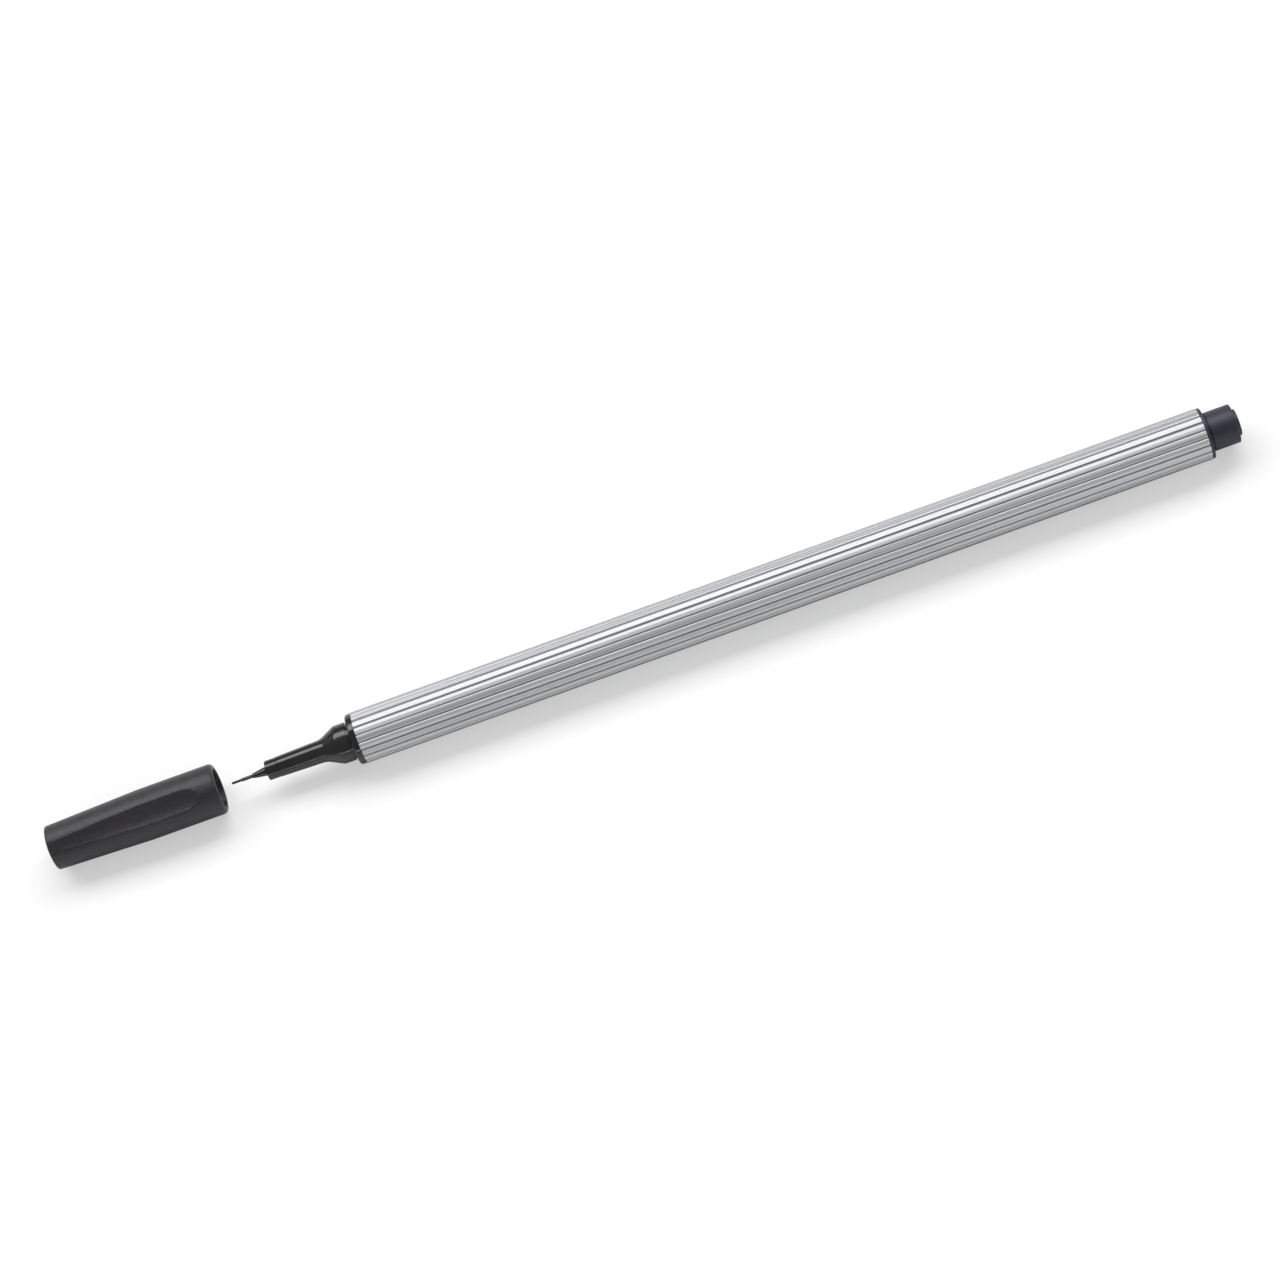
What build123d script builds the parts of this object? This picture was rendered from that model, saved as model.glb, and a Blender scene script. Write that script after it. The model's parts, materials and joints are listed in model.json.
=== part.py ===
from build123d import *
import os

# Fineliner pen lying along X: point towards -X, rear towards +X, resting on Z = 0.
# All sizes in millimetres.

# Fits
press_gap = 0.02
cap_gap = 0.05
lip_gap = 0.05
wrap_gap = 0.1
point_gap = 0.01

# Barrel: a tube with straight lands, a round-bottomed groove between each two
barrel_diameter = 8.0
barrel_length = 134.4
barrel_wall = 0.7
land_count = 20
groove_width = 0.28
groove_depth = 0.12
bore_lead = 0.25

# Front section: stem in the barrel, collar, shoulder for the cap, cone and nose
collar_inset = 0.05
collar_length = 1.05
collar_edge = 0.35
shoulder_length = 2.2
shoulder_edge = 0.15
root_groove_width = 0.4
root_groove_depth = 0.2
cone_length = 2.5
nose_share = 0.4375
nose_taper = 0.35
nose_length = 7.2
stem_length = 9.0
stem_wall = 0.95
shoulder_wall = 0.8
passage_diameter = 1.6

# Tip holder: end of the nose with a small cone, on a spigot pressed into the nose
holder_step = 0.07
holder_length = 1.85
holder_edge = 0.12
holder_line = 0.08
holder_cone_base = 1.5
holder_cone_tip = 0.76
holder_cone_length = 2.3
spigot_diameter = 2.1
spigot_length = 4.0

# Tip sleeve and nib
sleeve_wall = 0.08
sleeve_edge = 0.03
sleeve_reach = 1.8
sleeve_depth = 2.0
nib_diameter = 0.38
nib_reach = 1.55
nib_round = 0.12
nib_shoulder = 0.6
nib_rod_diameter = 1.1
nib_bite = 12.0

# Ink store
film = 0.1

# End plug: stem in the barrel, flange, post for the parked cap, end boss
flange_length = 0.5
flange_edge = 0.2
neck_width = 0.3
neck_depth = 0.2
post_length = 4.35
post_edge = 0.2
boss_diameter = 4.1
boss_height = 0.5
boss_edge = 0.12
plug_stem_length = 7.0
plug_end_wall = 1.0

# Cap: off the pen in line with it, wall thinned by long scoops
cap_clear = 1.9
cap_inset = 0.03
cap_wall = 0.92
cap_length = 27.0
cap_straight = 12.0
cap_end_drop = 0.52
cap_dome = 0.6
cap_end_edge = 0.15
cap_end_wall = 1.4
cap_lip_round = 0.7
cap_mouth_lead = 0.15
cap_seat_depth = 4.6
cap_throat_length = 0.8
scoop_count = 3
scoop_angle = 115.0
scoop_start = 3.15
scoop_radius = 4.6
scoop_depth = 0.65

# Cap liner: cup in the cap's end, with a lip round the nose
liner_wall = 0.45
liner_depth = 9.0
liner_lip_length = 0.8
liner_lip_height = 0.2
liner_lip_lead = 0.25

# Radii that follow from the sizes above
barrel_radius = barrel_diameter / 2
bore_radius = barrel_radius - barrel_wall
stem_radius = bore_radius - press_gap
collar_radius = barrel_radius - collar_inset
cap_radius = barrel_radius - cap_inset
cap_bore_radius = cap_radius - cap_wall
shoulder_radius = cap_bore_radius - cap_gap
nose_rear_radius = nose_share * barrel_radius
nose_front_radius = nose_rear_radius - nose_taper / 2
holder_radius = nose_front_radius - holder_step / 2
nib_radius = nib_diameter / 2
nib_rod_radius = nib_rod_diameter / 2
sleeve_bore_radius = nib_radius + point_gap
sleeve_radius = sleeve_bore_radius + sleeve_wall
spigot_radius = spigot_diameter / 2
wrap_radius = bore_radius - wrap_gap
wrap_bore_radius = wrap_radius - film
reservoir_radius = wrap_bore_radius - press_gap

# Stations along the axis, with the middle of the whole length at X = 0
nose_reach = collar_length + shoulder_length + cone_length + nose_length
point_reach = holder_length + holder_cone_length + sleeve_reach + nib_reach
front_reach = nose_reach + point_reach + cap_clear + cap_length + cap_dome
rear_reach = barrel_length + flange_length + post_length + boss_height
barrel_front = (front_reach - rear_reach) / 2
barrel_rear = barrel_front + barrel_length
collar_front = barrel_front - collar_length
shoulder_front = collar_front - shoulder_length
cone_front = shoulder_front - cone_length
nose_front = cone_front - nose_length
holder_front = nose_front - holder_length
holder_cone_front = holder_front - holder_cone_length
sleeve_front = holder_cone_front - sleeve_reach
nib_front = sleeve_front - nib_reach
spigot_rear = nose_front + spigot_length
sleeve_rear = holder_front + sleeve_depth
stem_rear = barrel_front + stem_length
flange_rear = barrel_rear + flange_length
post_rear = flange_rear + post_length
boss_rear = post_rear + boss_height
plug_stem_front = barrel_rear - plug_stem_length
cap_mouth = nib_front - cap_clear
cap_end = cap_mouth - cap_length
cap_floor = cap_end + cap_end_wall
cap_throat = cap_mouth - cap_seat_depth
liner_mouth = cap_mouth - liner_depth

# The pen lies on the edges of the two lands beside its lowest groove
axis_height = (barrel_radius**2 - groove_width**2 / 4) ** 0.5

# Planes: one through the axis for turned profiles, with X along the pen and Y outwards
pen_axis = Axis((0, 0, axis_height), (1, 0, 0))
axis_plane = Plane(origin=(0, 0, axis_height), x_dir=(1, 0, 0), z_dir=(0, -1, 0))


def cross_plane(x):
    # Plane across the pen at station x, with its X along +Y and its Y along +Z
    return Plane(origin=(x, 0, axis_height), x_dir=(0, 1, 0), z_dir=(1, 0, 0))


def corner(profile, x, radius):
    # The profile's vertex nearest to a station and a radius
    return profile.vertices().sort_by_distance((x, radius))[0]


os.makedirs("parts", exist_ok=True)

# Barrel
groove_radius = (groove_width**2 / 4 + groove_depth**2) / (2 * groove_depth)
groove_centre = barrel_radius - groove_depth + groove_radius
with BuildPart() as barrel:
    with BuildSketch(cross_plane(barrel_front)):
        Circle(barrel_radius)
        with PolarLocations(groove_centre, land_count, start_angle=-90):
            Circle(groove_radius, mode=Mode.SUBTRACT)
        Circle(bore_radius, mode=Mode.SUBTRACT)
    extrude(amount=barrel_length)
    bore_face = barrel.faces().sort_by(SortBy.AREA)[-1]
    chamfer(bore_face.edges().filter_by(GeomType.CIRCLE), bore_lead)
barrel.part.label = "barrel"
export_step(barrel.part, "parts/barrel.step")

# Front section
root_groove_front = collar_front - root_groove_width
root_groove_floor = shoulder_radius - root_groove_depth
stem_bore_radius = stem_radius - stem_wall
stem_bore_front = shoulder_front + shoulder_wall
socket_radius = spigot_radius + press_gap
with BuildPart() as front_section:
    with BuildSketch(axis_plane) as section_profile:
        with BuildLine():
            Polyline(
                (nose_front, socket_radius),
                (nose_front, nose_front_radius),
                (cone_front, nose_rear_radius),
                (shoulder_front, shoulder_radius),
                (root_groove_front, shoulder_radius),
                (root_groove_front, root_groove_floor),
                (collar_front, root_groove_floor),
                (collar_front, collar_radius),
                (barrel_front, collar_radius),
                (barrel_front, stem_radius),
                (stem_rear, stem_radius),
                (stem_rear, stem_bore_radius),
                (stem_bore_front, stem_bore_radius),
                (stem_bore_front, passage_diameter / 2),
                (spigot_rear, passage_diameter / 2),
                (spigot_rear, socket_radius),
                close=True,
            )
        make_face()
        chamfer(corner(section_profile, collar_front, collar_radius), collar_edge)
        chamfer(corner(section_profile, shoulder_front, shoulder_radius), shoulder_edge)
    revolve(axis=pen_axis)
front_section.part.label = "front_section"
export_step(front_section.part, "parts/front_section.step")

# Tip holder
sleeve_seat_radius = sleeve_radius + press_gap
rod_bore_radius = nib_rod_radius + press_gap
with BuildPart() as tip_holder:
    with BuildSketch(axis_plane) as holder_profile:
        with BuildLine():
            Polyline(
                (holder_cone_front, sleeve_seat_radius),
                (holder_cone_front, holder_cone_tip / 2),
                (holder_front, holder_cone_base / 2),
                (holder_front, holder_radius),
                (nose_front, holder_radius),
                (nose_front, spigot_radius),
                (spigot_rear, spigot_radius),
                (spigot_rear, rod_bore_radius),
                (sleeve_rear, rod_bore_radius),
                (sleeve_rear, sleeve_seat_radius),
                close=True,
            )
        make_face()
        chamfer(corner(holder_profile, holder_front, holder_radius), holder_edge)
        chamfer(corner(holder_profile, nose_front, holder_radius), holder_line)
    revolve(axis=pen_axis)
tip_holder.part.label = "tip_holder"
export_step(tip_holder.part, "parts/tip_holder.step")

# Tip sleeve
with BuildPart() as tip_sleeve:
    with BuildSketch(cross_plane(sleeve_front)):
        Circle(sleeve_radius)
        Circle(sleeve_bore_radius, mode=Mode.SUBTRACT)
    extrude(amount=sleeve_rear - sleeve_front)
    front_rim = tip_sleeve.faces().sort_by(Axis.X)[0].outer_wire().edges()
    chamfer(front_rim, sleeve_edge)
tip_sleeve.part.label = "tip_sleeve"
export_step(tip_sleeve.part, "parts/tip_sleeve.step")

# Nib: fine point through the sleeve, thicker rod from the holder into the ink store
nib_rear = stem_rear + nib_bite
nib_step = sleeve_rear + nib_shoulder
with BuildPart() as nib:
    with BuildSketch(axis_plane) as nib_profile:
        with BuildLine():
            Polyline(
                (nib_front, 0),
                (nib_front, nib_radius),
                (sleeve_rear, nib_radius),
                (nib_step, nib_rod_radius),
                (nib_rear, nib_rod_radius),
                (nib_rear, 0),
                close=True,
            )
        make_face()
        fillet(corner(nib_profile, nib_front, nib_radius), nib_round)
    revolve(axis=pen_axis)
nib.part.label = "nib"
export_step(nib.part, "parts/nib.step")

# Ink reservoir, from stem to stem, with the hole that the nib presses into it
with BuildPart() as ink_reservoir:
    with BuildSketch(axis_plane):
        with BuildLine():
            Polyline(
                (stem_rear, rod_bore_radius),
                (stem_rear, reservoir_radius),
                (plug_stem_front, reservoir_radius),
                (plug_stem_front, 0),
                (nib_rear, 0),
                (nib_rear, rod_bore_radius),
                close=True,
            )
        make_face()
    revolve(axis=pen_axis)
ink_reservoir.part.label = "ink_reservoir"
export_step(ink_reservoir.part, "parts/ink_reservoir.step")

# Reservoir wrap
with BuildPart() as reservoir_wrap:
    with BuildSketch(cross_plane(stem_rear)):
        Circle(wrap_radius)
        Circle(wrap_bore_radius, mode=Mode.SUBTRACT)
    extrude(amount=plug_stem_front - stem_rear)
reservoir_wrap.part.label = "reservoir_wrap"
export_step(reservoir_wrap.part, "parts/reservoir_wrap.step")

# End plug; its post takes the same cap bore as the shoulder
post_radius = shoulder_radius
neck_rear = flange_rear + neck_width
plug_bore_rear = post_rear - plug_end_wall
with BuildPart() as end_plug:
    with BuildSketch(axis_plane) as plug_profile:
        with BuildLine():
            Polyline(
                (plug_stem_front, stem_bore_radius),
                (plug_stem_front, stem_radius),
                (barrel_rear, stem_radius),
                (barrel_rear, collar_radius),
                (flange_rear, collar_radius),
                (flange_rear, post_radius - neck_depth),
                (neck_rear, post_radius - neck_depth),
                (neck_rear, post_radius),
                (post_rear, post_radius),
                (post_rear, boss_diameter / 2),
                (boss_rear, boss_diameter / 2),
                (boss_rear, 0),
                (plug_bore_rear, 0),
                (plug_bore_rear, stem_bore_radius),
                close=True,
            )
        make_face()
        chamfer(corner(plug_profile, flange_rear, collar_radius), flange_edge)
        chamfer(corner(plug_profile, post_rear, post_radius), post_edge)
        chamfer(corner(plug_profile, boss_rear, boss_diameter / 2), boss_edge)
    revolve(axis=pen_axis)
end_plug.part.label = "end_plug"
export_step(end_plug.part, "parts/end_plug.step")

# Liner radii, outwards from the nose that its lip stands round when the cap is closed
lip_on_nose = liner_depth - shoulder_length - cone_length
nose_slope = (nose_rear_radius - nose_front_radius) / nose_length
lip_radius = nose_rear_radius - nose_slope * lip_on_nose + lip_gap
liner_cup_radius = lip_radius + liner_lip_height
liner_radius = liner_cup_radius + liner_wall
liner_bore_radius = liner_radius + press_gap

# Cap: turned shell that tapers towards its domed end, then round-nosed scoops along it
cap_end_radius = cap_radius - cap_end_drop
cap_throat_end = cap_throat - cap_throat_length
scoop_floor = cap_radius - scoop_depth
scoop_run = (scoop_radius**2 - (scoop_radius - scoop_depth) ** 2) ** 0.5
scoop_nose = cap_mouth - scoop_start - scoop_run
with BuildPart() as cap:
    with BuildSketch(axis_plane) as cap_profile:
        with BuildLine():
            dome = TangentArc((cap_end - cap_dome, 0), (cap_end, cap_end_radius), tangent=(0, 1))
            Polyline(
                dome @ 1,
                (cap_mouth - cap_straight, cap_radius),
                (cap_mouth, cap_radius),
                (cap_mouth, cap_bore_radius),
                (cap_throat, cap_bore_radius),
                (cap_throat_end, liner_bore_radius),
                (cap_floor, liner_bore_radius),
                (cap_floor, 0),
                dome @ 0,
            )
        make_face()
        chamfer(corner(cap_profile, cap_end, cap_end_radius), cap_end_edge)
        fillet(corner(cap_profile, cap_mouth, cap_radius), cap_lip_round)
        chamfer(corner(cap_profile, cap_mouth, cap_bore_radius), cap_mouth_lead)
    revolve(axis=pen_axis)
    with Locations(cross_plane(scoop_nose)):
        with PolarLocations(scoop_floor + scoop_radius, scoop_count, start_angle=scoop_angle):
            Sphere(scoop_radius, mode=Mode.SUBTRACT)
            Cylinder(
                scoop_radius,
                cap_length,
                align=(Align.CENTER, Align.CENTER, Align.MAX),
                mode=Mode.SUBTRACT,
            )
cap.part.label = "cap"
export_step(cap.part, "parts/cap.step")

# Cap liner
lip_rear = liner_mouth - liner_lip_length
with BuildPart() as cap_liner:
    with BuildSketch(axis_plane) as liner_profile:
        with BuildLine():
            Polyline(
                (liner_mouth, lip_radius),
                (liner_mouth, liner_radius),
                (cap_floor, liner_radius),
                (cap_floor, 0),
                (cap_floor + liner_wall, 0),
                (cap_floor + liner_wall, liner_cup_radius),
                (lip_rear, liner_cup_radius),
                (lip_rear, lip_radius),
                close=True,
            )
        make_face()
        chamfer(corner(liner_profile, liner_mouth, lip_radius), liner_lip_lead)
    revolve(axis=pen_axis)
cap_liner.part.label = "cap_liner"
export_step(cap_liner.part, "parts/cap_liner.step")
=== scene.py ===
import json
import math

import bmesh
import bpy
from mathutils import Matrix, Vector


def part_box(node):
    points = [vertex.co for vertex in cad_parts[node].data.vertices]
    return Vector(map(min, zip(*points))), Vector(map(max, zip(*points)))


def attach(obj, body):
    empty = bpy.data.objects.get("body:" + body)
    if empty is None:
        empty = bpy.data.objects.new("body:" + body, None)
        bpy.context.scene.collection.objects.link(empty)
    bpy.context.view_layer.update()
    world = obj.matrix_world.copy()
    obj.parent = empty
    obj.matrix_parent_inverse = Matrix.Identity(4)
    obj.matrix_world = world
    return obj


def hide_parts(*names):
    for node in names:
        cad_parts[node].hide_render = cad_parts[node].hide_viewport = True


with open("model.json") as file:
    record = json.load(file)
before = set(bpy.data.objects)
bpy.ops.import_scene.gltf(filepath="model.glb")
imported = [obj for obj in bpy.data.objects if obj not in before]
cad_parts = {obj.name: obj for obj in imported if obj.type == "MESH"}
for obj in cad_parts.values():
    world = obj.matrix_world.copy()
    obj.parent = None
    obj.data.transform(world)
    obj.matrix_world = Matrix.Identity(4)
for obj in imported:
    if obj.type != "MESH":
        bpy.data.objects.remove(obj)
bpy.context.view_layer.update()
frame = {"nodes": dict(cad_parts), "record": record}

mm = 0.001                                  # pieces are shaped in millimetres and scaled at the end
near = 0.004                                # how close a point counts as on a ring, mm
same = 0.0005                               # points this close are one point, mm

mounts = {mount["name"]: mount["dims"] for mount in frame["record"]["mounts"]}
barrelRadius = mounts["barrel_grip"]["r_mm"]
postRadius = mounts["rear_post"]["r_mm"]
plugLow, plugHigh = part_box("end_plug")
axisHeight = (plugLow.z + plugHigh.z) / 2 / mm


def nodeEnds(name):                         # front and rear station of a node, mm
    low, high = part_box(name)
    return low.x / mm, high.x / mm


def nodeRadius(name):
    low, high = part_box(name)
    return (high.y - low.y) / 2 / mm


def radiusOf(point):
    return math.hypot(point.y, point.z - axisHeight)


# Modelling: a ring is drawn out along the pen's axis, then its edges are rounded

def addRing(x, radius, sides):
    bpy.ops.mesh.primitive_circle_add(
        vertices=sides, radius=radius, location=(x, 0, axisHeight), rotation=(0, math.pi / 2, 0)
    )


def drawOut(x, radius, stations):           # the picked ring goes from station to station
    for nextX, nextRadius in stations:
        bpy.ops.mesh.extrude_edges_move(TRANSFORM_OT_translate={"value": (nextX - x, 0, 0)})
        wider = nextRadius / radius
        bpy.ops.transform.resize(value=(1, wider, wider), center_override=(nextX, 0, axisHeight))
        x, radius = nextX, nextRadius


def startPiece(name, x, radius, sides):
    bpy.ops.object.select_all(action="DESELECT")
    addRing(x, radius, sides)
    piece = bpy.context.object
    piece.name = name
    piece.data.name = name
    bpy.ops.object.transform_apply(location=True, rotation=True, scale=True)
    bpy.ops.object.mode_set(mode="EDIT")
    bpy.ops.mesh.select_mode(type="EDGE")
    bpy.ops.mesh.select_all(action="SELECT")
    return piece


def turnPiece(name, sides, stations):
    x, radius = stations[0]
    piece = startPiece(name, x, radius, sides)
    drawOut(x, radius, stations[1:])
    return piece


def pickEdges(piece, wanted):
    bpy.ops.mesh.select_all(action="DESELECT")
    shape = bmesh.from_edit_mesh(piece.data)
    for edge in shape.edges:
        edge.select_set(all(wanted(corner.co) for corner in edge.verts))
    bmesh.update_edit_mesh(piece.data)


def onRing(x, radius):
    return lambda point: abs(point.x - x) < near and abs(radiusOf(point) - radius) < near


def mergePoints():
    bpy.ops.mesh.select_all(action="SELECT")
    bpy.ops.mesh.remove_doubles(threshold=same)


def roundRing(piece, x, radius, edge):      # edge: its size in mm and its steps
    size, steps = edge
    pickEdges(piece, onRing(x, radius))
    bpy.ops.mesh.bevel(offset=size, offset_type="OFFSET", segments=steps, profile=0.5, affect="EDGES")


def closeEnd(piece, x, radius, tip):        # a small ring runs together in a point
    pickEdges(piece, onRing(x, radius))
    bpy.ops.mesh.extrude_edges_move(TRANSFORM_OT_translate={"value": (tip - x, 0, 0)})
    bpy.ops.mesh.merge(type="CENTER")


def finishPiece(piece, body, node, finish, crease=32):
    mergePoints()
    bpy.ops.mesh.normals_make_consistent(inside=False)
    bpy.ops.transform.resize(value=(mm, mm, mm), center_override=(0, 0, 0))
    bpy.ops.object.mode_set(mode="OBJECT")
    bpy.ops.object.shade_smooth_by_angle(angle=math.radians(crease))
    even = piece.modifiers.new("even", "WEIGHTED_NORMAL")
    even.keep_sharp = True
    bpy.ops.object.modifier_apply(modifier=even.name)
    piece.data.materials.append(finish)
    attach(piece, body)
    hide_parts(node)
    print(piece.name, len(piece.data.vertices), "points", len(piece.data.polygons), "faces")


# Shading: a wire is a node's output that can be reckoned with

def plugIn(tree, socket, value):
    if isinstance(value, Wire):
        tree.links.new(value.socket, socket)
    else:
        socket.default_value = value


class Wire:
    def __init__(self, tree, socket):
        self.tree = tree
        self.socket = socket

    def reckon(self, operation, first, second):
        node = self.tree.nodes.new("ShaderNodeMath")
        node.operation = operation
        plugIn(self.tree, node.inputs[0], first)
        plugIn(self.tree, node.inputs[1], second)
        return Wire(self.tree, node.outputs[0])

    def __add__(self, other):
        return self.reckon("ADD", self, other)

    def __radd__(self, other):
        return self.reckon("ADD", other, self)

    def __sub__(self, other):
        return self.reckon("SUBTRACT", self, other)

    def __rsub__(self, other):
        return self.reckon("SUBTRACT", other, self)

    def __mul__(self, other):
        return self.reckon("MULTIPLY", self, other)

    def __rmul__(self, other):
        return self.reckon("MULTIPLY", other, self)

    def __pow__(self, other):
        return self.reckon("POWER", self, other)

    def __rpow__(self, other):
        return self.reckon("POWER", other, self)


class Nodes:                                # the nodes of a material or of the world
    def __init__(self, block):
        block.use_nodes = True
        self.tree = block.node_tree
        self.tree.nodes.clear()

    def add(self, kind, settings=None, sockets=None, out=0):
        node = self.tree.nodes.new("ShaderNode" + kind)
        for name, value in (settings or {}).items():
            setattr(node, name, value)
        for name, value in (sockets or {}).items():
            plugIn(self.tree, node.inputs[name], value)
        return Wire(self.tree, node.outputs[out]) if node.outputs else None

    def ramp(self, value, low, high, first=0.0, last=1.0):
        sockets = {"Value": value, "From Min": low, "From Max": high, "To Min": first, "To Max": last}
        return self.add("MapRange", {"interpolation_type": "SMOOTHSTEP", "clamp": True}, sockets)

    def mix(self, share, first, second):
        return self.add("Mix", {"data_type": "RGBA"}, {0: share, 6: first, 7: second}, out=2)


class Finish(Nodes):                        # a material, its patterns in millimetres from the pen's axis
    def __init__(self, name):
        self.material = bpy.data.materials.new(name)
        super().__init__(self.material)
        spot = self.add("TexCoord", out="Object")
        self.spot = self.add(
            "Mapping", {}, {"Vector": spot, "Location": (0, 0, -axisHeight), "Scale": (1 / mm,) * 3}
        )

    def axisDistance(self):
        across, up = [self.add("SeparateXYZ", {}, {"Vector": self.spot}, out=name) for name in "YZ"]
        return (across * across + up * up) ** 0.5

    def noise(self, lengths, detail, rough=0.55):           # lengths: size of the pattern along each axis
        stretch = tuple(1 / length for length in lengths)
        spot = self.add("VectorMath", {"operation": "MULTIPLY"}, {0: self.spot, 1: stretch})
        sockets = {"Vector": spot, "Scale": 1.0, "Detail": detail, "Roughness": rough}
        return self.add("TexNoise", {"noise_dimensions": "3D"}, sockets)

    def bump(self, height, depth, strength, normal=None):
        sockets = {"Height": height, "Distance": depth * mm, "Strength": strength}
        if normal:
            sockets["Normal"] = normal
        return self.add("Bump", {}, sockets)

    def surface(self, sockets):
        shader = self.add("BsdfPrincipled", {}, sockets)
        self.add("OutputMaterial", {}, {"Surface": shader})
        return self.material


def tone(red, green, blue):
    return (red, green, blue, 1.0)


# Barrel: silver-pigmented tube with straight lands

barrelSpec = {
    "lands": 20,
    "pointsPerLand": 28,
    "grooveWidth": 0.42,                    # from land to land, with rounded edges and a rounded floor
    "grooveDepth": 0.14,
    "landCrown": 0.04,                      # how much more than the barrel the lands are bowed
    "endEdge": 0.05,
    "wall": 0.7,
    "boreLead": 0.25,
    "shadeFrom": 0.07,                      # depths at which the painted shade in the grooves starts and is full
    "shadeFull": 0.13,
    "pale": tone(0.61, 0.619, 0.632),       # silver, and the deeper streaks in it
    "deep": tone(0.38, 0.386, 0.395),
    # painted shade: the dark tone laid into the grooves' floors
    "grooveTone": tone(0.12, 0.122, 0.13),
    "metal": 0.86,
    "rough": 0.55,
    "streaks": (260, 0.6, 0.6),             # patterns: length along each axis, here and below
    "pigment": (0.07, 0.07, 0.07),
    "drawnLines": (60, 0.09, 0.09),
    "handling": (14, 5, 5),
}


def silverFinish():
    spec = barrelSpec
    finish = Finish("barrelSilver")
    flow = finish.noise(spec["streaks"], detail=2)
    flake = finish.noise(spec["pigment"], detail=2)
    lines = finish.noise(spec["drawnLines"], detail=2)
    touch = finish.noise(spec["handling"], detail=3)
    full = barrelRadius - spec["shadeFull"]
    clear = barrelRadius - spec["shadeFrom"]
    # painted shade: the deeper a point lies in a groove, the more it takes the dark groove tone and the
    # less metal it gets
    depth = finish.ramp(finish.axisDistance(), full, clear, 1, 0)
    silver = finish.mix(finish.ramp(flow * 0.8 + flake * 0.2, 0.4, 0.58), spec["deep"], spec["pale"])
    sockets = {
        "Base Color": finish.mix(depth * 0.7, silver, spec["grooveTone"]),
        "Metallic": spec["metal"] - depth * 0.1,
        "Roughness": spec["rough"] + (flow - 0.5) * 0.3 + (lines - 0.5) * 0.2 + (touch - 0.5) * 0.12,
        "Specular Tint": tone(0.0, 0.0, 0.0),               # the pigment darkens towards the edges
        "Normal": finish.bump(lines, 0.012, 0.8, finish.bump(flow * 0.7 + flake * 0.3, 0.02, 0.7)),
    }
    return finish.surface(sockets)


def makeBarrel():
    front, rear = nodeEnds("barrel")
    spec = barrelSpec
    sides = spec["lands"] * spec["pointsPerLand"]
    edge = spec["endEdge"]
    pitch = 2 * math.pi / spec["lands"]
    inner = barrelRadius - edge
    piece = turnPiece("barrelTube", sides, [(front, inner), (front + edge, barrelRadius)])
    drawOut(front + edge, barrelRadius, [(rear - edge, barrelRadius), (rear, inner)])

    def stepOf(point):                      # steps from the nearest groove's middle
        turn = math.atan2(point.y, axisHeight - point.z) / pitch
        return round(abs(turn - round(turn)) * spec["pointsPerLand"])

    arc = barrelRadius * pitch / spec["pointsPerLand"]
    half = spec["pointsPerLand"] // 2
    bpy.ops.mesh.select_mode(type="VERT")
    for step in range(half + 1):
        side = min(step * arc / (spec["grooveWidth"] / 2), 1)
        drop = spec["grooveDepth"] * (1 + math.cos(math.pi * side)) / 2
        drop += spec["landCrown"] * (1 - step / half) ** 2
        smaller = 1 - drop / barrelRadius
        bpy.ops.mesh.select_all(action="DESELECT")
        shape = bmesh.from_edit_mesh(piece.data)
        for corner in shape.verts:
            corner.select_set(stepOf(corner.co) == step)
        bmesh.update_edit_mesh(piece.data)
        bpy.ops.transform.resize(value=(1, smaller, smaller), center_override=(0, 0, axisHeight))
    bpy.ops.mesh.select_mode(type="EDGE")

    bore = barrelRadius - spec["wall"]
    lead = spec["boreLead"]
    bpy.ops.mesh.select_all(action="DESELECT")
    addRing(front, bore + lead, sides)
    drawOut(front, bore + lead, [(front + lead, bore), (rear - lead, bore), (rear, bore + lead)])
    for end in (front, rear):
        pickEdges(piece, lambda point: abs(point.x - end) < near)
        bpy.ops.mesh.bridge_edge_loops()
    finishPiece(piece, "pen", "barrel", silverFinish(), crease=50)


# Front section: polished black moulding with the collar, the cap's shoulder, a cone and the nose

sectionSpec = {
    "sides": 128,
    "collarLength": 1.05,
    "collarRound": (0.42, 8),               # size of an edge and its steps, here and below
    "collarEdge": (0.04, 2),
    "shoulderLength": 2.2,
    "shoulderRound": (0.2, 6),
    "rootWidth": 0.4,
    "rootDepth": 0.2,
    "rootEdge": (0.06, 2),
    "coneLength": 2.5,
    "coneBlend": (0.6, 6),
    "noseRear": 1.75,                       # radii of the nose
    "noseFront": 1.575,
    "noseEdge": (0.05, 3),
    "stemWall": 0.95,
    "stemGap": 0.72,                        # stem below the barrel's outside
    "shoulderWall": 0.8,
    "passage": 0.8,                         # radii of the rod's passage and the holder's socket
    "socket": 1.07,
    "dark": tone(0.004, 0.0035, 0.0042),
    "light": tone(0.007, 0.0063, 0.0072),
    "rough": 0.13,
    "gloss": 0.55,
    "smears": (9, 2.2, 2.2),                # faint, from handling
    "hairlines": (6, 0.05, 0.05),           # rubs along the pen
    "mould": (0.5, 0.5, 0.5),
}


def blackFinish():
    spec = sectionSpec
    finish = Finish("blackGloss")
    smear = finish.noise(spec["smears"], detail=4)
    hair = finish.noise(spec["hairlines"], detail=2)
    mould = finish.noise(spec["mould"], detail=3)
    smeared = spec["rough"] + finish.ramp(smear, 0.45, 0.75) * 0.09
    sockets = {
        "Base Color": finish.mix(finish.ramp(smear, 0.35, 0.7), spec["dark"], spec["light"]),
        "Roughness": smeared + finish.ramp(hair, 0.56, 0.7) * 0.07,
        "Specular IOR Level": spec["gloss"],
        "Normal": finish.bump(mould * 0.6 + hair * 0.4, 0.003, 0.35),
    }
    return finish.surface(sockets)


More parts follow.
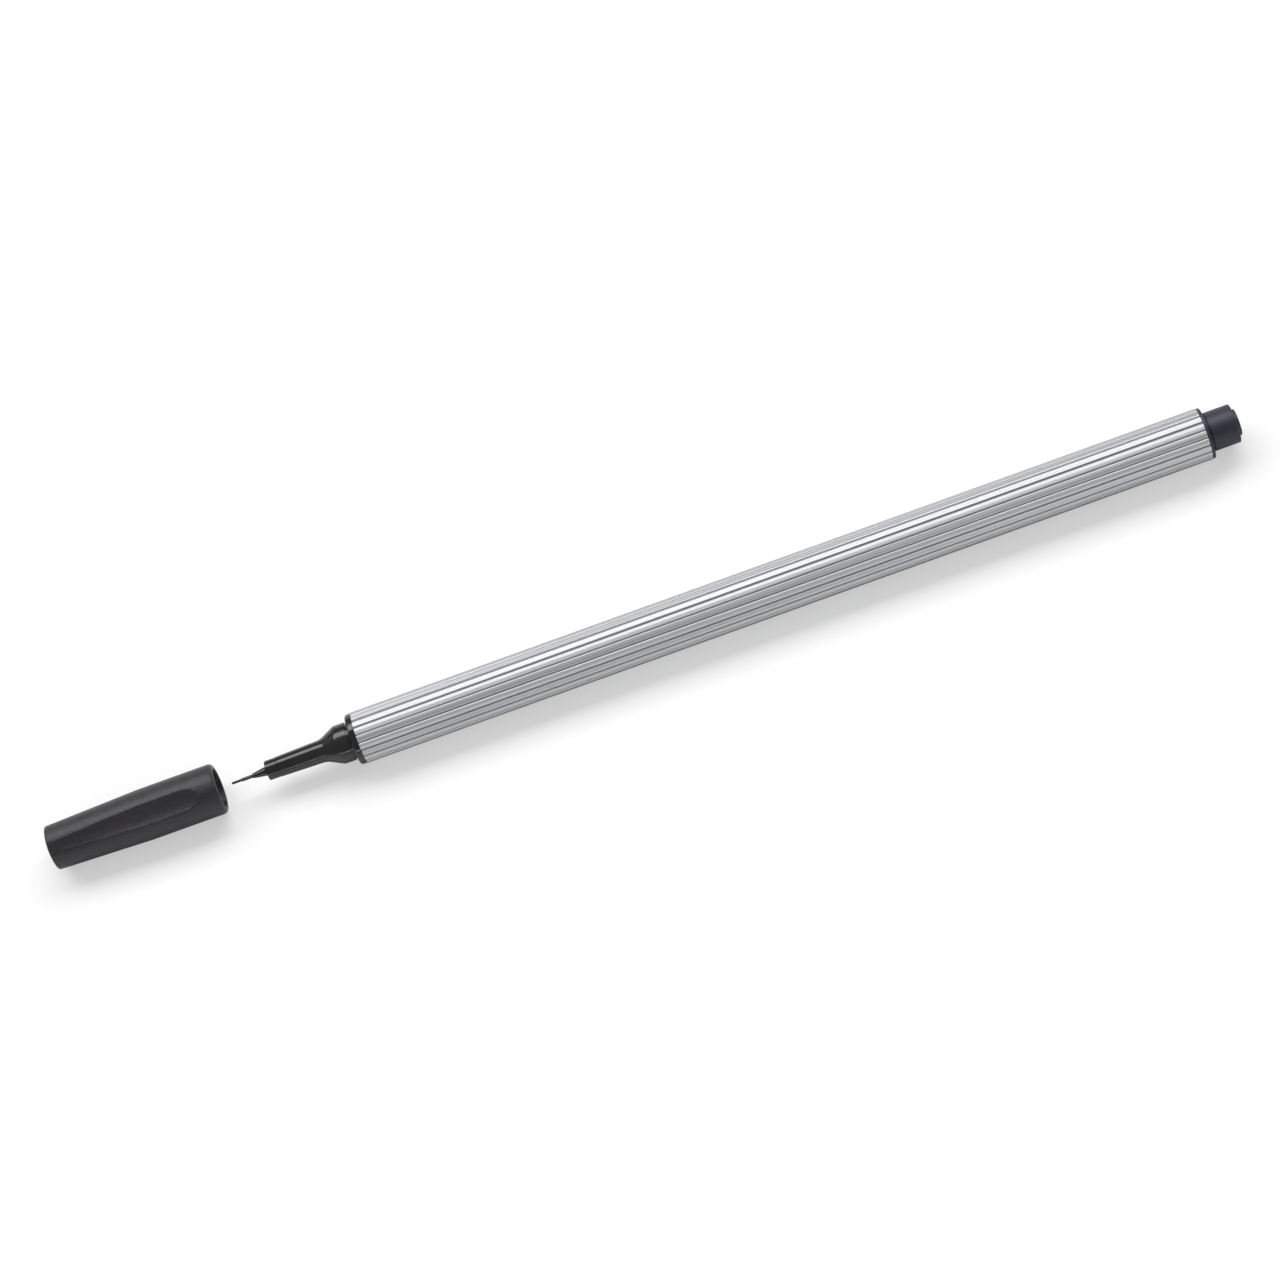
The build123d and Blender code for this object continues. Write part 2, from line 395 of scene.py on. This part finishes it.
def makeSection(finish):
    noseFront, stemRear = nodeEnds("front_section")
    barrelFront = nodeEnds("barrel")[0]
    spigotRear = nodeEnds("tip_holder")[1]
    spec = sectionSpec
    collar = nodeRadius("front_section")
    collarFront = barrelFront - spec["collarLength"]
    rootFront = collarFront - spec["rootWidth"]
    rootFloor = postRadius - spec["rootDepth"]
    shoulderFront = collarFront - spec["shoulderLength"]
    coneFront = shoulderFront - spec["coneLength"]
    stem = barrelRadius - spec["stemGap"]
    stemBore = stem - spec["stemWall"]
    boreFront = shoulderFront + spec["shoulderWall"]
    stations = [
        (noseFront, spec["socket"]),
        (noseFront, spec["noseFront"]),
        (coneFront, spec["noseRear"]),
        (shoulderFront, postRadius),
        (rootFront, postRadius),
        (rootFront, rootFloor),
        (collarFront, rootFloor),
        (collarFront, collar),
        (barrelFront, collar),
        (barrelFront, stem),
        (stemRear, stem),
        (stemRear, stemBore),
        (boreFront, stemBore),
        (boreFront, spec["passage"]),
        (spigotRear, spec["passage"]),
        (spigotRear, spec["socket"]),
        (noseFront, spec["socket"]),
    ]
    piece = turnPiece("frontSection", spec["sides"], stations)
    mergePoints()
    roundRing(piece, noseFront, spec["noseFront"], spec["noseEdge"])
    roundRing(piece, coneFront, spec["noseRear"], spec["coneBlend"])
    roundRing(piece, shoulderFront, postRadius, spec["shoulderRound"])
    roundRing(piece, rootFront, postRadius, spec["rootEdge"])
    roundRing(piece, collarFront, collar, spec["collarRound"])
    roundRing(piece, barrelFront, collar, spec["collarEdge"])
    finishPiece(piece, "pen", "front_section", finish)


# Tip holder: end of the nose, with the small cone that carries the point

holderSpec = {
    "sides": 96,
    "length": 1.85,
    "frontRound": (0.14, 5),
    "lineEdge": (0.08, 3),                  # parting line against the nose
    "coneBase": 0.75,
    "coneTip": 0.38,
    "coneEdge": (0.03, 3),
    "coneFoot": (0.25, 4),
    "spigot": 1.05,                         # radii of the stem and its two bores
    "rodBore": 0.57,
    "sleeveSeat": 0.3,
}


def makeHolder(finish):
    coneFront, spigotRear = nodeEnds("tip_holder")
    noseFront = nodeEnds("front_section")[0]
    sleeveRear = nodeEnds("tip_sleeve")[1]
    spec = holderSpec
    radius = nodeRadius("tip_holder")
    front = noseFront - spec["length"]
    stations = [
        (coneFront, spec["sleeveSeat"]),
        (coneFront, spec["coneTip"]),
        (front, spec["coneBase"]),
        (front, radius),
        (noseFront, radius),
        (noseFront, spec["spigot"]),
        (spigotRear, spec["spigot"]),
        (spigotRear, spec["rodBore"]),
        (sleeveRear, spec["rodBore"]),
        (sleeveRear, spec["sleeveSeat"]),
        (coneFront, spec["sleeveSeat"]),
    ]
    piece = turnPiece("tipHolder", spec["sides"], stations)
    mergePoints()
    roundRing(piece, coneFront, spec["coneTip"], spec["coneEdge"])
    roundRing(piece, front, spec["coneBase"], spec["coneFoot"])
    roundRing(piece, front, radius, spec["frontRound"])
    roundRing(piece, noseFront, radius, spec["lineEdge"])
    finishPiece(piece, "pen", "tip_holder", finish)


# Tip sleeve: drawn metal tube round the point

sleeveSpec = {
    "sides": 64,
    "wall": 0.08,
    "mouthRound": (0.03, 4),
    "bare": tone(0.08, 0.078, 0.078),
    "inked": tone(0.03, 0.029, 0.031),
    "rough": 0.26,
    "drawnLines": (2.5, 0.02, 0.02),        # left by drawing the tube
    "stains": (0.5, 0.3, 0.3),              # dried ink
}


def sleeveFinish():
    spec = sleeveSpec
    finish = Finish("sleeveMetal")
    drawn = finish.noise(spec["drawnLines"], detail=3)
    stain = finish.noise(spec["stains"], detail=3)
    ink = finish.ramp(stain, 0.52, 0.68)
    sockets = {
        "Base Color": finish.mix(ink * 0.7, spec["bare"], spec["inked"]),
        "Metallic": 1.0 - ink * 0.5,
        "Roughness": spec["rough"] + (drawn - 0.5) * 0.2 + ink * 0.2,
        "Normal": finish.bump(drawn, 0.002, 0.5),
    }
    return finish.surface(sockets)


def makeSleeve():
    front, rear = nodeEnds("tip_sleeve")
    spec = sleeveSpec
    radius = nodeRadius("tip_sleeve")
    bore = radius - spec["wall"]
    stations = [(front, bore), (front, radius), (rear, radius), (rear, bore), (front, bore)]
    piece = turnPiece("tipSleeve", spec["sides"], stations)
    mergePoints()
    roundRing(piece, front, radius, spec["mouthRound"])
    finishPiece(piece, "pen", "tip_sleeve", sleeveFinish())


# Nib: fine point, then a thicker rod back into the ink store

nibSpec = {
    "sides": 64,
    "point": 0.19,
    "tipRound": (0.12, 5),
    "rodStep": 0.6,
    "pole": 0.03,                           # small ring round the middle of a closed end
    "dark": tone(0.012, 0.011, 0.013),
    "light": tone(0.04, 0.036, 0.036),
    "strand": 0.03,
}
fibreSpec = {
    "strandLength": 6,
    "soak": (1.5, 0.8, 0.8),                # how the ink spreads in the fibres
    "rough": 0.62,
}


def fibreFinish(name, dark, light, strand):  # fibres bundled along the pen
    finish = Finish(name)
    strands = finish.noise((fibreSpec["strandLength"], strand, strand), detail=3)
    soak = finish.noise(fibreSpec["soak"], detail=2)
    sockets = {
        "Base Color": finish.mix(finish.ramp(strands * 0.7 + soak * 0.3, 0.35, 0.65), dark, light),
        "Roughness": fibreSpec["rough"] + (soak - 0.5) * 0.3,
        "Normal": finish.bump(strands, strand * 0.15, 0.6),
    }
    return finish.surface(sockets)


def makeNib():
    front, rear = nodeEnds("nib")
    sleeveRear = nodeEnds("tip_sleeve")[1]
    spec = nibSpec
    rod = nodeRadius("nib")
    stations = [
        (front, spec["pole"]),
        (front, spec["point"]),
        (sleeveRear, spec["point"]),
        (sleeveRear + spec["rodStep"], rod),
        (rear, rod),
        (rear, spec["pole"]),
    ]
    piece = turnPiece("nibRod", spec["sides"], stations)
    closeEnd(piece, front, spec["pole"], front)
    closeEnd(piece, rear, spec["pole"], rear)
    roundRing(piece, front, spec["point"], spec["tipRound"])
    soaked = fibreFinish("nibFibre", spec["dark"], spec["light"], spec["strand"])
    finishPiece(piece, "pen", "nib", soaked)


# End plug: flange on the barrel's end, post for the parked cap, end boss

plugSpec = {
    "sides": 128,
    "flangeLength": 0.5,
    "flangeEdge": (0.04, 2),
    "flangeRound": (0.18, 5),
    "neckWidth": 0.3,
    "neckDepth": 0.2,
    "neckEdge": (0.06, 3),
    "postLength": 4.35,
    "postRound": (0.2, 6),
    "boss": 2.05,
    "bossRound": (0.12, 4),
    "stemWall": 0.95,
    "endWall": 1.0,
    "pole": 0.2,
    "dark": tone(0.010, 0.010, 0.025),
    "light": tone(0.015, 0.015, 0.034),
    "rough": 0.5,
    "haze": (3, 3, 3),
    "grain": (0.12, 0.12, 0.12),
    "turnedLines": (0.08, 40, 40),          # faint, from the mould
}


def plugFinish():
    spec = plugSpec
    finish = Finish("plugCharcoal")
    haze = finish.noise(spec["haze"], detail=4)
    grain = finish.noise(spec["grain"], detail=3)
    rings = finish.noise(spec["turnedLines"], detail=2)
    sockets = {
        "Base Color": finish.mix(finish.ramp(haze, 0.35, 0.65), spec["dark"], spec["light"]),
        "Roughness": spec["rough"] + (haze - 0.5) * 0.16 + (grain - 0.5) * 0.12,
        "Normal": finish.bump(rings * 0.5 + grain * 0.5, 0.006, 0.35),
    }
    return finish.surface(sockets)


def makePlug():
    stemFront, bossRear = nodeEnds("end_plug")
    barrelRear = nodeEnds("barrel")[1]
    spec = plugSpec
    flange = nodeRadius("end_plug")
    stem = barrelRadius - sectionSpec["stemGap"]
    stemBore = stem - spec["stemWall"]
    flangeRear = barrelRear + spec["flangeLength"]
    neckRear = flangeRear + spec["neckWidth"]
    neck = postRadius - spec["neckDepth"]
    postRear = flangeRear + spec["postLength"]
    boreRear = postRear - spec["endWall"]
    stations = [
        (boreRear, spec["pole"]),
        (boreRear, stemBore),
        (stemFront, stemBore),
        (stemFront, stem),
        (barrelRear, stem),
        (barrelRear, flange),
        (flangeRear, flange),
        (flangeRear, neck),
        (neckRear, neck),
        (neckRear, postRadius),
        (postRear, postRadius),
        (postRear, spec["boss"]),
        (bossRear, spec["boss"]),
        (bossRear, spec["pole"]),
    ]
    piece = turnPiece("endPlug", spec["sides"], stations)
    closeEnd(piece, boreRear, spec["pole"], boreRear)
    closeEnd(piece, bossRear, spec["pole"], bossRear)
    roundRing(piece, barrelRear, flange, spec["flangeEdge"])
    roundRing(piece, flangeRear, flange, spec["flangeRound"])
    roundRing(piece, neckRear, postRadius, spec["neckEdge"])
    roundRing(piece, postRear, postRadius, spec["postRound"])
    roundRing(piece, bossRear, spec["boss"], spec["bossRound"])
    finishPiece(piece, "pen", "end_plug", plugFinish())


# Cap: turned shell, thinned by three long scoops

capSpec = {
    "sides": 240,
    "straight": 12.0,                       # from the mouth to the start of the taper
    "length": 27.0,
    "endDrop": 0.52,                        # what the taper takes off the radius
    "endRound": (0.22, 5),
    "lipRound": 0.7,
    "lipSteps": 9,
    "mouthLead": (0.15, 3),
    "wall": 0.92,
    "seatDepth": 4.6,
    "throatLength": 0.8,
    "linerGap": 0.02,
    "ringStep": 0.25,
    "domeRings": 8,
    "scoops": 3,
    "scoopAngle": 115.0,                    # first scoop, in degrees up from the far side
    "scoopStart": 3.15,
    "scoopRadius": 4.6,
    "scoopDepth": 0.65,
    "scoopEdge": 0.05,                      # softness of the scoops' rims
    "skin": 0.1,                            # points further than this from the bore are on the outside
    "pole": 0.25,
    "dark": tone(0.0098, 0.0080, 0.0108),
    "light": tone(0.0185, 0.0157, 0.0202),
    "rough": 0.41,
    "gloss": 0.46,
    "grain": (0.27, 0.27, 0.27),            # of the mould's walls
    "coarse": (0.7, 0.7, 0.7),
    "rubs": (5, 2, 2),
}


def capFinish():
    spec = capSpec
    finish = Finish("capCharcoal")
    grain = finish.noise(spec["grain"], detail=4, rough=0.65)
    coarse = finish.noise(spec["coarse"], detail=2)
    rub = finish.noise(spec["rubs"], detail=4)
    worn = finish.ramp(grain * 0.6 + rub * 0.4, 0.38, 0.62)
    sockets = {
        "Base Color": finish.mix(worn, spec["dark"], spec["light"]),
        "Roughness": spec["rough"] + (rub - 0.5) * 0.16 + (grain - 0.5) * 0.4,
        "Specular IOR Level": spec["gloss"],
        "Normal": finish.bump(grain * 0.6 + coarse * 0.4, 0.12, 0.9),
    }
    return finish.surface(sockets)


def linerBore():
    return nodeRadius("cap_liner") + capSpec["linerGap"]


def scoopDepth(point, mouth, capRadius):    # how far a point of the cap's outside is pushed in, mm
    spec = capSpec
    away = capRadius - spec["scoopDepth"] + spec["scoopRadius"]
    run = math.sqrt(spec["scoopRadius"] ** 2 - (spec["scoopRadius"] - spec["scoopDepth"]) ** 2)
    beyond = max(point.x - (mouth - spec["scoopStart"] - run), 0)
    halfWidthSquared = max(spec["scoopRadius"] ** 2 - beyond ** 2, 0)
    angle = math.atan2(point.z - axisHeight, point.y) - math.radians(spec["scoopAngle"])
    pitch = 2 * math.pi / spec["scoops"]
    angle -= round(angle / pitch) * pitch
    floor = away * math.cos(angle) - math.sqrt(max(halfWidthSquared - (away * math.sin(angle)) ** 2, 0))
    cut = radiusOf(point) - floor
    return (cut + math.hypot(cut, spec["scoopEdge"])) / 2


def makeCap():
    tip, mouth = nodeEnds("cap")
    floorX = nodeEnds("cap_liner")[0]
    spec = capSpec
    radius = nodeRadius("cap")
    bore = radius - spec["wall"]
    end = mouth - spec["length"]
    endRadius = radius - spec["endDrop"]
    dome = end - tip
    domeRadius = (endRadius ** 2 + dome ** 2) / (2 * dome)
    throat = mouth - spec["seatDepth"]
    stations = []
    for ring in range(spec["domeRings"] + 1):
        ringRadius = spec["pole"] + (endRadius - spec["pole"]) * ring / spec["domeRings"]
        x = tip + domeRadius - math.sqrt(domeRadius ** 2 - ringRadius ** 2)
        stations.append((x, ringRadius))
    domeFront = stations[0][0]
    rings = round((spec["length"] - spec["lipRound"]) / spec["ringStep"])
    for ring in range(1, rings):
        x = end + (spec["length"] - spec["lipRound"]) * ring / rings
        taper = max((mouth - spec["straight"] - x) / (spec["length"] - spec["straight"]), 0)
        stations.append((x, radius - spec["endDrop"] * taper))
    stations += [
        (mouth, radius),
        (mouth, bore),
        (throat, bore),
        (throat - spec["throatLength"], linerBore()),
        (floorX, linerBore()),
        (floorX, spec["pole"]),
    ]
    piece = turnPiece("capShell", spec["sides"], stations)
    closeEnd(piece, domeFront, spec["pole"], tip)
    closeEnd(piece, floorX, spec["pole"], floorX)
    roundRing(piece, end, endRadius, spec["endRound"])
    roundRing(piece, mouth, radius, (spec["lipRound"], spec["lipSteps"]))
    roundRing(piece, mouth, bore, spec["mouthLead"])
    bpy.ops.object.mode_set(mode="OBJECT")
    depths = piece.vertex_groups.new(name="scoops")
    for corner in piece.data.vertices:
        if radiusOf(corner.co) > bore + spec["skin"] and corner.co.x < mouth - spec["lipRound"]:
            share = scoopDepth(corner.co, mouth, radius) / spec["scoopDepth"]
            depths.add([corner.index], min(share, 1), "REPLACE")
    push = piece.modifiers.new("scoops", "DISPLACE")
    push.vertex_group = depths.name
    push.mid_level = 0
    push.strength = -spec["scoopDepth"]
    bpy.ops.object.modifier_apply(modifier=push.name)
    bpy.ops.object.mode_set(mode="EDIT")
    finishPiece(piece, "cap", "cap", capFinish(), crease=45)


# Cap liner: cup in the cap's end with a lip round the nose

linerSpec = {
    "sides": 96,
    "wall": 0.45,
    "lipLength": 0.8,
    "lipHeight": 0.2,
    "lipLead": (0.15, 4),
    "outerEdge": (0.06, 3),
    "pole": 0.2,
    "dark": tone(0.016, 0.016, 0.017),
    "light": tone(0.03, 0.03, 0.031),
    "rough": 0.38,
    "haze": (2, 1, 1),
}


def linerFinish():
    spec = linerSpec
    finish = Finish("linerBlack")
    haze = finish.noise(spec["haze"], detail=4)
    sockets = {
        "Base Color": finish.mix(finish.ramp(haze, 0.35, 0.65), spec["dark"], spec["light"]),
        "Roughness": spec["rough"] + (haze - 0.5) * 0.2,
        "Normal": finish.bump(haze, 0.01, 0.3),
    }
    return finish.surface(sockets)


def makeLiner():
    floorX, mouth = nodeEnds("cap_liner")
    spec = linerSpec
    radius = nodeRadius("cap_liner")
    cup = radius - spec["wall"]
    lip = cup - spec["lipHeight"]
    lipRear = mouth - spec["lipLength"]
    stations = [
        (floorX, spec["pole"]),
        (floorX, radius),
        (mouth, radius),
        (mouth, lip),
        (lipRear, lip),
        (lipRear, cup),
        (floorX + spec["wall"], cup),
        (floorX + spec["wall"], spec["pole"]),
    ]
    piece = turnPiece("capLiner", spec["sides"], stations)
    closeEnd(piece, floorX, spec["pole"], floorX)
    closeEnd(piece, floorX + spec["wall"], spec["pole"], floorX + spec["wall"])
    roundRing(piece, mouth, lip, spec["lipLead"])
    roundRing(piece, mouth, radius, spec["outerEdge"])
    finishPiece(piece, "cap", "cap_liner", linerFinish())


# Ink store inside the barrel: its own solids, dressed

reservoirSpec = {"dark": tone(0.03, 0.03, 0.034), "light": tone(0.09, 0.09, 0.096), "strand": 0.12}
wrapSpec = {
    "dark": tone(0.62, 0.62, 0.61),
    "light": tone(0.74, 0.74, 0.73),
    "rough": 0.28,
    "creases": (30, 0.8, 0.8),
}


def filmFinish():
    spec = wrapSpec
    finish = Finish("wrapFilm")
    crease = finish.noise(spec["creases"], detail=3)
    sockets = {
        "Base Color": finish.mix(finish.ramp(crease, 0.4, 0.6), spec["dark"], spec["light"]),
        "Roughness": spec["rough"] + (crease - 0.5) * 0.2,
    }
    return finish.surface(sockets)


def dressInkStore():
    spec = reservoirSpec
    fibre = fibreFinish("reservoirFibre", spec["dark"], spec["light"], spec["strand"])
    frame["nodes"]["ink_reservoir"].material_slots[0].material = fibre
    frame["nodes"]["reservoir_wrap"].material_slots[0].material = filmFinish()
    print("ink store dressed")


# Stage: pale floor, key strip behind the pen, low strip in front, soft room light

stageSpec = {
    "floor": 8.0,                           # metres, as the lamps
    "paperGlow": 0.45,                      # white added for the eye, so that the shadow stays light
    "paperDark": tone(0.865, 0.865, 0.865),
    "paperLight": tone(0.875, 0.875, 0.875),
    "bounce": tone(0.2, 0.2, 0.2),          # the floor in the light that it throws back
    "flecks": (1.5, 1.5, 1.5),              # of the paper, mm
    "roomTone": tone(0.98, 0.99, 1.0),
    "wallTop": 0.3,                         # where the walls end and the ceiling starts, of 1 overhead
    "ceilingEdge": 0.85,
    "wallGlow": 0.4,
    "ceilingGlow": 0.42,
}
lamps = {                                   # elevation in degrees, glow as a mirror would show it
    "keyStrip": {
        "side": 1,                          # behind the pen
        "elevation": 55.0,
        "distance": 2.4,
        "length": 4.8,
        "width": 1.2,
        "glow": 4.8,
    },
    "lowStrip": {
        "side": -1,
        "elevation": 11.0,
        "distance": 1.2,
        "length": 2.2,
        "width": 0.1,
        "glow": 4.0,
    },
}


def floorFinish():                          # white to the eye and in reflections
    spec = stageSpec
    finish = Finish("floorPaper")
    fleck = finish.noise(spec["flecks"], detail=3)
    white = finish.mix(finish.ramp(fleck, 0.3, 0.7), spec["paperDark"], spec["paperLight"])
    rays = ("Is Camera Ray", "Is Glossy Ray", "Is Transmission Ray")
    eye, gloss, through = [finish.add("LightPath", out=ray) for ray in rays]
    paper = finish.add("BsdfDiffuse", {}, {"Color": white})
    glow = finish.add("Emission", {}, {"Color": tone(1.0, 1.0, 1.0), "Strength": 1.0})
    bright = finish.add("MixShader", {}, {0: eye * spec["paperGlow"], 1: paper, 2: glow})
    dim = finish.add("BsdfDiffuse", {}, {"Color": spec["bounce"]})
    both = finish.add("MixShader", {}, {0: eye + gloss + through, 1: dim, 2: bright})
    finish.add("OutputMaterial", {}, {"Surface": both})
    return finish.material


def makeFloor():
    bpy.ops.object.select_all(action="DESELECT")
    bpy.ops.mesh.primitive_plane_add(size=stageSpec["floor"])
    floor = bpy.context.object
    floor.name = "floor"
    floor.data.materials.append(floorFinish())
    print("floor laid")


def makeLamps():
    for name, lamp in lamps.items():
        light = bpy.data.lights.new(name, "AREA")
        light.shape = "RECTANGLE"
        light.size = lamp["length"]
        light.size_y = lamp["width"]
        light.energy = lamp["glow"] * math.pi * lamp["length"] * lamp["width"]
        rise = math.radians(lamp["elevation"])
        towards = Vector((0, lamp["side"] * math.cos(rise), math.sin(rise)))
        stand = bpy.data.objects.new(name, light)
        bpy.context.scene.collection.objects.link(stand)
        stand.location = towards * lamp["distance"]
        stand.rotation_euler = towards.to_track_quat("Z", "Y").to_euler()
        stand.visible_camera = False
    print("lamps set")


def makeRoom():
    spec = stageSpec
    world = bpy.data.worlds.new("room")
    bpy.context.scene.world = world
    room = Nodes(world)
    height = room.add("SeparateXYZ", {}, {"Vector": room.add("TexCoord", out="Generated")}, out="Z")
    low, high = spec["wallTop"], spec["ceilingEdge"]
    glow = room.ramp(height, low, high, spec["wallGlow"], spec["ceilingGlow"])
    sky = room.add("Background", {}, {"Color": spec["roomTone"], "Strength": glow})
    room.add("OutputWorld", {}, {"Surface": sky})
    bpy.context.scene.view_settings.view_transform = "Standard"
    print("room lit")


# Camera: beside the pen, a little to the rear of its middle, looking down on it

cameraSpec = {
    "foot": 20.0,                           # station that the camera stands at; mm and degrees
    "distance": 587.0,
    "elevation": 65.0,
    "aim": -0.16,                           # station in the middle of the picture
    "drop": 0.455,                          # middle of the picture below the axis
    "roll": 19.78,
    "lens": 110.08,
    "sensor": 36.0,
    "nearest": 0.01,                        # metres
}


def makeCamera():
    spec = cameraSpec
    rise = math.radians(spec["elevation"])
    roll = math.radians(spec["roll"])
    towards = Vector((0, -math.cos(rise), math.sin(rise)))
    upwards = Vector((0, math.sin(rise), math.cos(rise)))
    eye = Vector((spec["foot"], 0, axisHeight)) + towards * spec["distance"]
    aim = Vector((spec["aim"], 0, axisHeight)) - upwards * spec["drop"]
    back = (eye - aim).normalized()
    level = upwards.cross(back).normalized()
    plumb = back.cross(level)
    right = level * math.cos(roll) - plumb * math.sin(roll)
    up = level * math.sin(roll) + plumb * math.cos(roll)
    lens = bpy.data.cameras.new("camera")
    lens.sensor_width = spec["sensor"]
    lens.lens = spec["lens"]
    lens.clip_start = spec["nearest"]
    camera = bpy.data.objects.new("camera", lens)
    bpy.context.scene.collection.objects.link(camera)
    place = Matrix((right, up, back)).transposed().to_4x4()
    place.translation = eye * mm
    camera.matrix_world = place
    bpy.context.scene.camera = camera
    print("camera set")


makeBarrel()
blackGloss = blackFinish()
makeSection(blackGloss)
makeHolder(blackGloss)
makeSleeve()
makeNib()
makePlug()
makeCap()
makeLiner()
dressInkStore()
makeFloor()
makeLamps()
makeRoom()
makeCamera()
